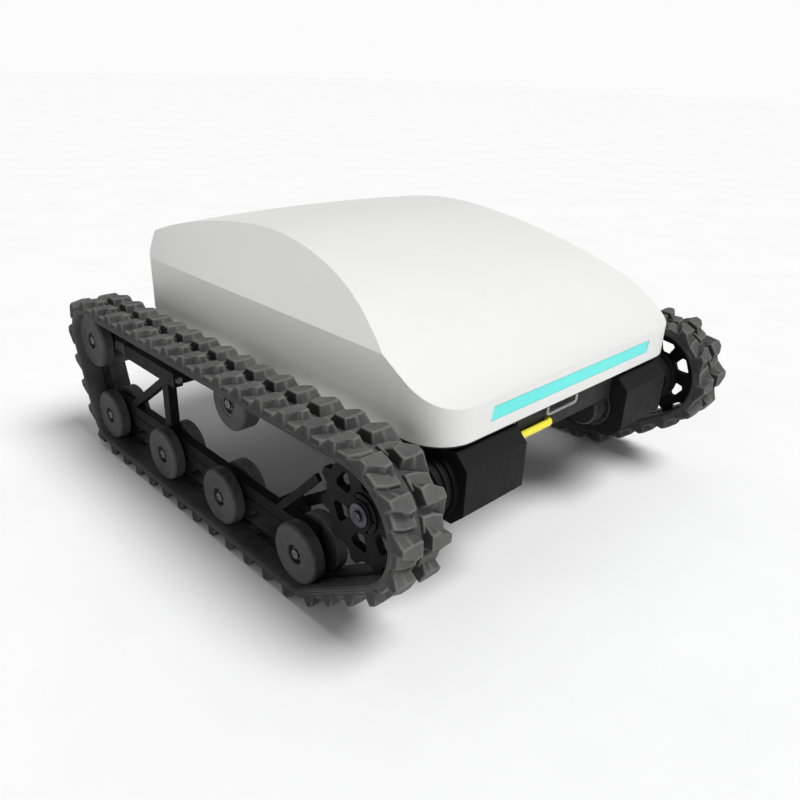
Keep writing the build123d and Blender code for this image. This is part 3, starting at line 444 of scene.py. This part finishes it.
def belt_object(side):
    sg = -1.0 if side == "right" else 1.0
    rng = random.Random(11 if side == "right" else 23)
    verts, faces, lightening = [], [], []

    def frame_at(s):
        x, z, t = at(s)
        return Vector((x, sg * TRACK_C, z)), Vector((-math.cos(t), 0, -math.sin(t))), Vector((math.sin(t), 0, -math.cos(t)))

    # belt body: one closed section carried round the loop, with a blind drive pocket per pitch
    cut_s = [-27.0, -20.0, -13.0, -6.5, 0.0, 6.5, 13.0, 20.0, 27.0]
    section = [(-43.0, 2.5), (-30.0, 2.5), (-8.0, 2.2), (8.0, 2.2), (30.0, 2.5), (43.0, 2.5)] + EDGE
    section += [(30.0, -11.0), (10.0, -11.0), (9.0, -10.4), (9.0, -5.5)]
    i_pocket = len(section)
    section += [(8.0, -5.5), (-8.0, -5.5)]
    section += [(-9.0, -5.5), (-9.0, -10.4), (-10.0, -11.0), (-30.0, -11.0)]
    section += [(-a, b) for a, b in EDGE][::-1]
    nsec = len(section)
    rings = []
    for k in range(N_PITCH):
        for c in cut_s:
            s = PHASE + k * PITCH - c
            o, ax, up = frame_at(s)
            first = len(verts)
            for t, h in section:
                if abs(t) >= 48.9:
                    t += rng.uniform(-0.12, 0.0) * (1 if t > 0 else -1)
                verts.append(o + up * h + Vector((0, sg * t, 0)))
                lightening.append(0.42 if abs(t) >= 49.85 else (0.10 if h > 0 else 0.03))
            rings.append((s, first, c))
    rings.sort(key=lambda r: r[0])
    m = len(rings)
    for r in range(m):
        (s0, a, ca), (s1, b, cb) = rings[r], rings[(r + 1) % m]
        hole = -13.01 < min(ca, cb) and max(ca, cb) < 13.01 and abs(ca - cb) < 10
        for i in range(nsec):
            j = (i + 1) % nsec
            if hole and i == i_pocket:
                continue
            faces.append([a + i, b + i, b + j, a + j])
        if hole:
            p = [a + i_pocket, b + i_pocket, b + i_pocket + 1, a + i_pocket + 1]
            q = []
            for src, s in ((p[0], s0), (p[1], s1), (p[2], s1), (p[3], s0)):
                o, ax, up = frame_at(s)
                verts.append(verts[src] + up * 5.2)
                lightening.append(0.0)
                q.append(len(verts) - 1)
            faces.append(q)
            faces.append([p[0], p[1], q[1], q[0]])
            faces.append([p[2], p[3], q[3], q[2]])
            if max(ca, cb) > 12.9:
                i0, i1 = (0, 3) if ca > cb else (1, 2)
                faces.append([p[i0], p[i1], q[i1], q[i0]])
            if min(ca, cb) < -12.9:
                i0, i1 = (0, 3) if ca < cb else (1, 2)
                faces.append([p[i0], p[i1], q[i1], q[i0]])
    # tread bars and the ribs on their end walls
    ribs = side_ribs()
    for k in range(N_PITCH):
        for idx, (c, lv, lf) in enumerate(LUGS):
            o, ax, up = frame_at(PHASE + k * PITCH - c)
            jx, jt = rng.uniform(-0.2, 0.2), rng.uniform(-0.25, 0.0)
            start = len(verts)
            for ls, lt, lh, w in lv:
                tt = lt + (jt if lt > 0 else -jt)
                verts.append(o + ax * (ls + jx) + Vector((0, sg * tt, 0)) + up * lh)
                lightening.append(w)
            faces += [[start + q for q in f] for f in lf]
            for rs, rh in ribs:
                if idx > 1:
                    continue
                if idx:
                    rs = -19.5 - rs
                x = rs - c
                e = 1.0 if idx == 0 else -1.0
                start = len(verts)
                for dx, tt, hh, w in ((-0.7, 46.0, 1.0, 0.1), (0.7, 46.0, 1.0, 0.1), (0.7, 49.95, 1.0, 0.3), (-0.7, 49.95, 1.0, 0.3),
                                      (-0.6, 46.0, rh, 0.3), (0.6, 46.0, rh, 0.3), (0.6, 49.8, rh - 0.8, 0.6), (-0.6, 49.8, rh - 0.8, 0.6)):
                    verts.append(o + ax * (x + dx) + Vector((0, sg * e * tt, 0)) + up * hh)
                    lightening.append(w)
                for f in ((0, 1, 5, 4), (1, 2, 6, 5), (2, 3, 7, 6), (3, 0, 4, 7), (4, 5, 6, 7)):
                    faces.append([start + q for q in f])
    for v in verts:
        v.z = max(v.z, 0.02)
        v.x = max(min(v.x, 543.64), -543.64)
    ob = new_object(side + "_belt_detail", verts, faces, MATS["belt_rubber"], 0)
    bm = bmesh.new()
    bm.from_mesh(ob.data)
    bmesh.ops.recalc_face_normals(bm, faces=bm.faces)
    bm.to_mesh(ob.data)
    bm.free()
    at_ = ob.data.attributes.new("lightening", "FLOAT", "POINT")
    for i, w in enumerate(lightening):
        at_.data[i].value = w
    for p in ob.data.polygons:
        p.use_smooth = True
    ob.data.set_sharp_from_angle(angle=math.radians(34.0))
    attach(ob, "chassis")
    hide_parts(side + "_track_belt")
    return ob


for side in ("right", "left"):
    belt_object(side)


# ------------------------------------------------------------------ floor, light, camera
def mesh_plane(name, size, z):
    me = bpy.data.meshes.new(name)
    me.from_pydata([(-size, -size, z), (size, -size, z), (size, size, z), (-size, size, z)], [], [(0, 1, 2, 3)])
    ob = bpy.data.objects.new(name, me)
    bpy.context.scene.collection.objects.link(ob)
    return ob


floor = mesh_plane("floor", 30.0, 0.0)
fm = Mat("floor_pale")
fn = fm.noise(3.0, 4.0)
fm.set("Base Color", fm.mix(fm.ramp(fn, 0.3, 0.7), (0.90, 0.90, 0.90), (0.87, 0.87, 0.87)))
fm.p.inputs["Roughness"].default_value = 0.85
fm.p.inputs["Specular IOR Level"].default_value = 0.2
floor.data.materials.append(fm.m)
floor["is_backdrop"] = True

world = bpy.data.worlds.new("studio")
bpy.context.scene.world = world
world.use_nodes = True
wt = world.node_tree
bg = wt.nodes["Background"]
wc = wt.nodes.new("ShaderNodeTexCoord")
ws = wt.nodes.new("ShaderNodeSeparateXYZ")
wa = wt.nodes.new("ShaderNodeMath")
wa.operation = "ABSOLUTE"
wr = wt.nodes.new("ShaderNodeMapRange")
wr.interpolation_type = "SMOOTHSTEP"
wt.links.new(wc.outputs["Generated"], ws.inputs[0])
wt.links.new(ws.outputs[2], wa.inputs[0])
wt.links.new(wa.outputs[0], wr.inputs["Value"])
wr.inputs["From Min"].default_value = 0.08
wr.inputs["From Max"].default_value = 0.18
wr.inputs["To Min"].default_value = 0.97
wr.inputs["To Max"].default_value = 0.20
wt.links.new(wr.outputs[0], bg.inputs["Strength"])
bg.inputs[0].default_value = (1.0, 1.0, 1.0, 1.0)


def sun(name, azimuth, elevation, strength, angle, color=(1, 1, 1)):
    """A broad soft light; azimuth from +X towards +Y, degrees."""
    d = bpy.data.lights.new(name, "SUN")
    d.energy = strength
    d.angle = math.radians(angle)
    d.color = color
    o = bpy.data.objects.new(name, d)
    az, el = math.radians(azimuth), math.radians(elevation)
    v = Vector((math.cos(az) * math.cos(el), math.sin(az) * math.cos(el), math.sin(el)))
    o.location = v * 5.0
    o.rotation_euler = (-v).to_track_quat("-Z", "Y").to_euler()
    bpy.context.scene.collection.objects.link(o)
    return o


sun("key", 22.0, 60.0, 2.85, 30.0)
sun("fill", -72.0, 12.0, 0.45, 70.0)
sun("back", 150.0, 55.0, 0.30, 60.0)

cam_d = bpy.data.cameras.new("camera")
cam = bpy.data.objects.new("camera", cam_d)
bpy.context.scene.collection.objects.link(cam)
a, e, c = 0.7816412048217347, 0.43025307185680234, 0.04226964551177075
back = Vector((math.sin(a) * math.cos(e), -math.cos(a) * math.cos(e), math.sin(e)))
fwd = -back
right = fwd.cross(Vector((0, 0, 1))).normalized()
up = right.cross(fwd)
r2 = math.cos(c) * right + math.sin(c) * up
u2 = -math.sin(c) * right + math.cos(c) * up
loc = Vector(((1503.9065831761384 + XS) * MM, -1076.0608887476992 * MM, (811.9807525468728 + GROUND) * MM))
cam.matrix_world = Matrix(((r2.x, u2.x, back.x, loc.x), (r2.y, u2.y, back.y, loc.y), (r2.z, u2.z, back.z, loc.z), (0, 0, 0, 1)))
cam_d.sensor_fit = "HORIZONTAL"
cam_d.sensor_width = 36.0
cam_d.lens = 733.1791071925285 / 800.0 * 36.0
cam_d.clip_end = 200.0
bpy.context.scene.camera = cam
bpy.context.scene.view_settings.view_transform = "Standard"
bpy.context.scene.view_settings.look = "None"

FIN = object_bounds()


def plain(b):
    if isinstance(b, dict):
        return {k: plain(v) for k, v in b.items()}
    try:
        return [plain(v) for v in b]
    except TypeError:
        return float(b)


{"cad_box": plain(LOAD), "visual_box": plain(FIN)}
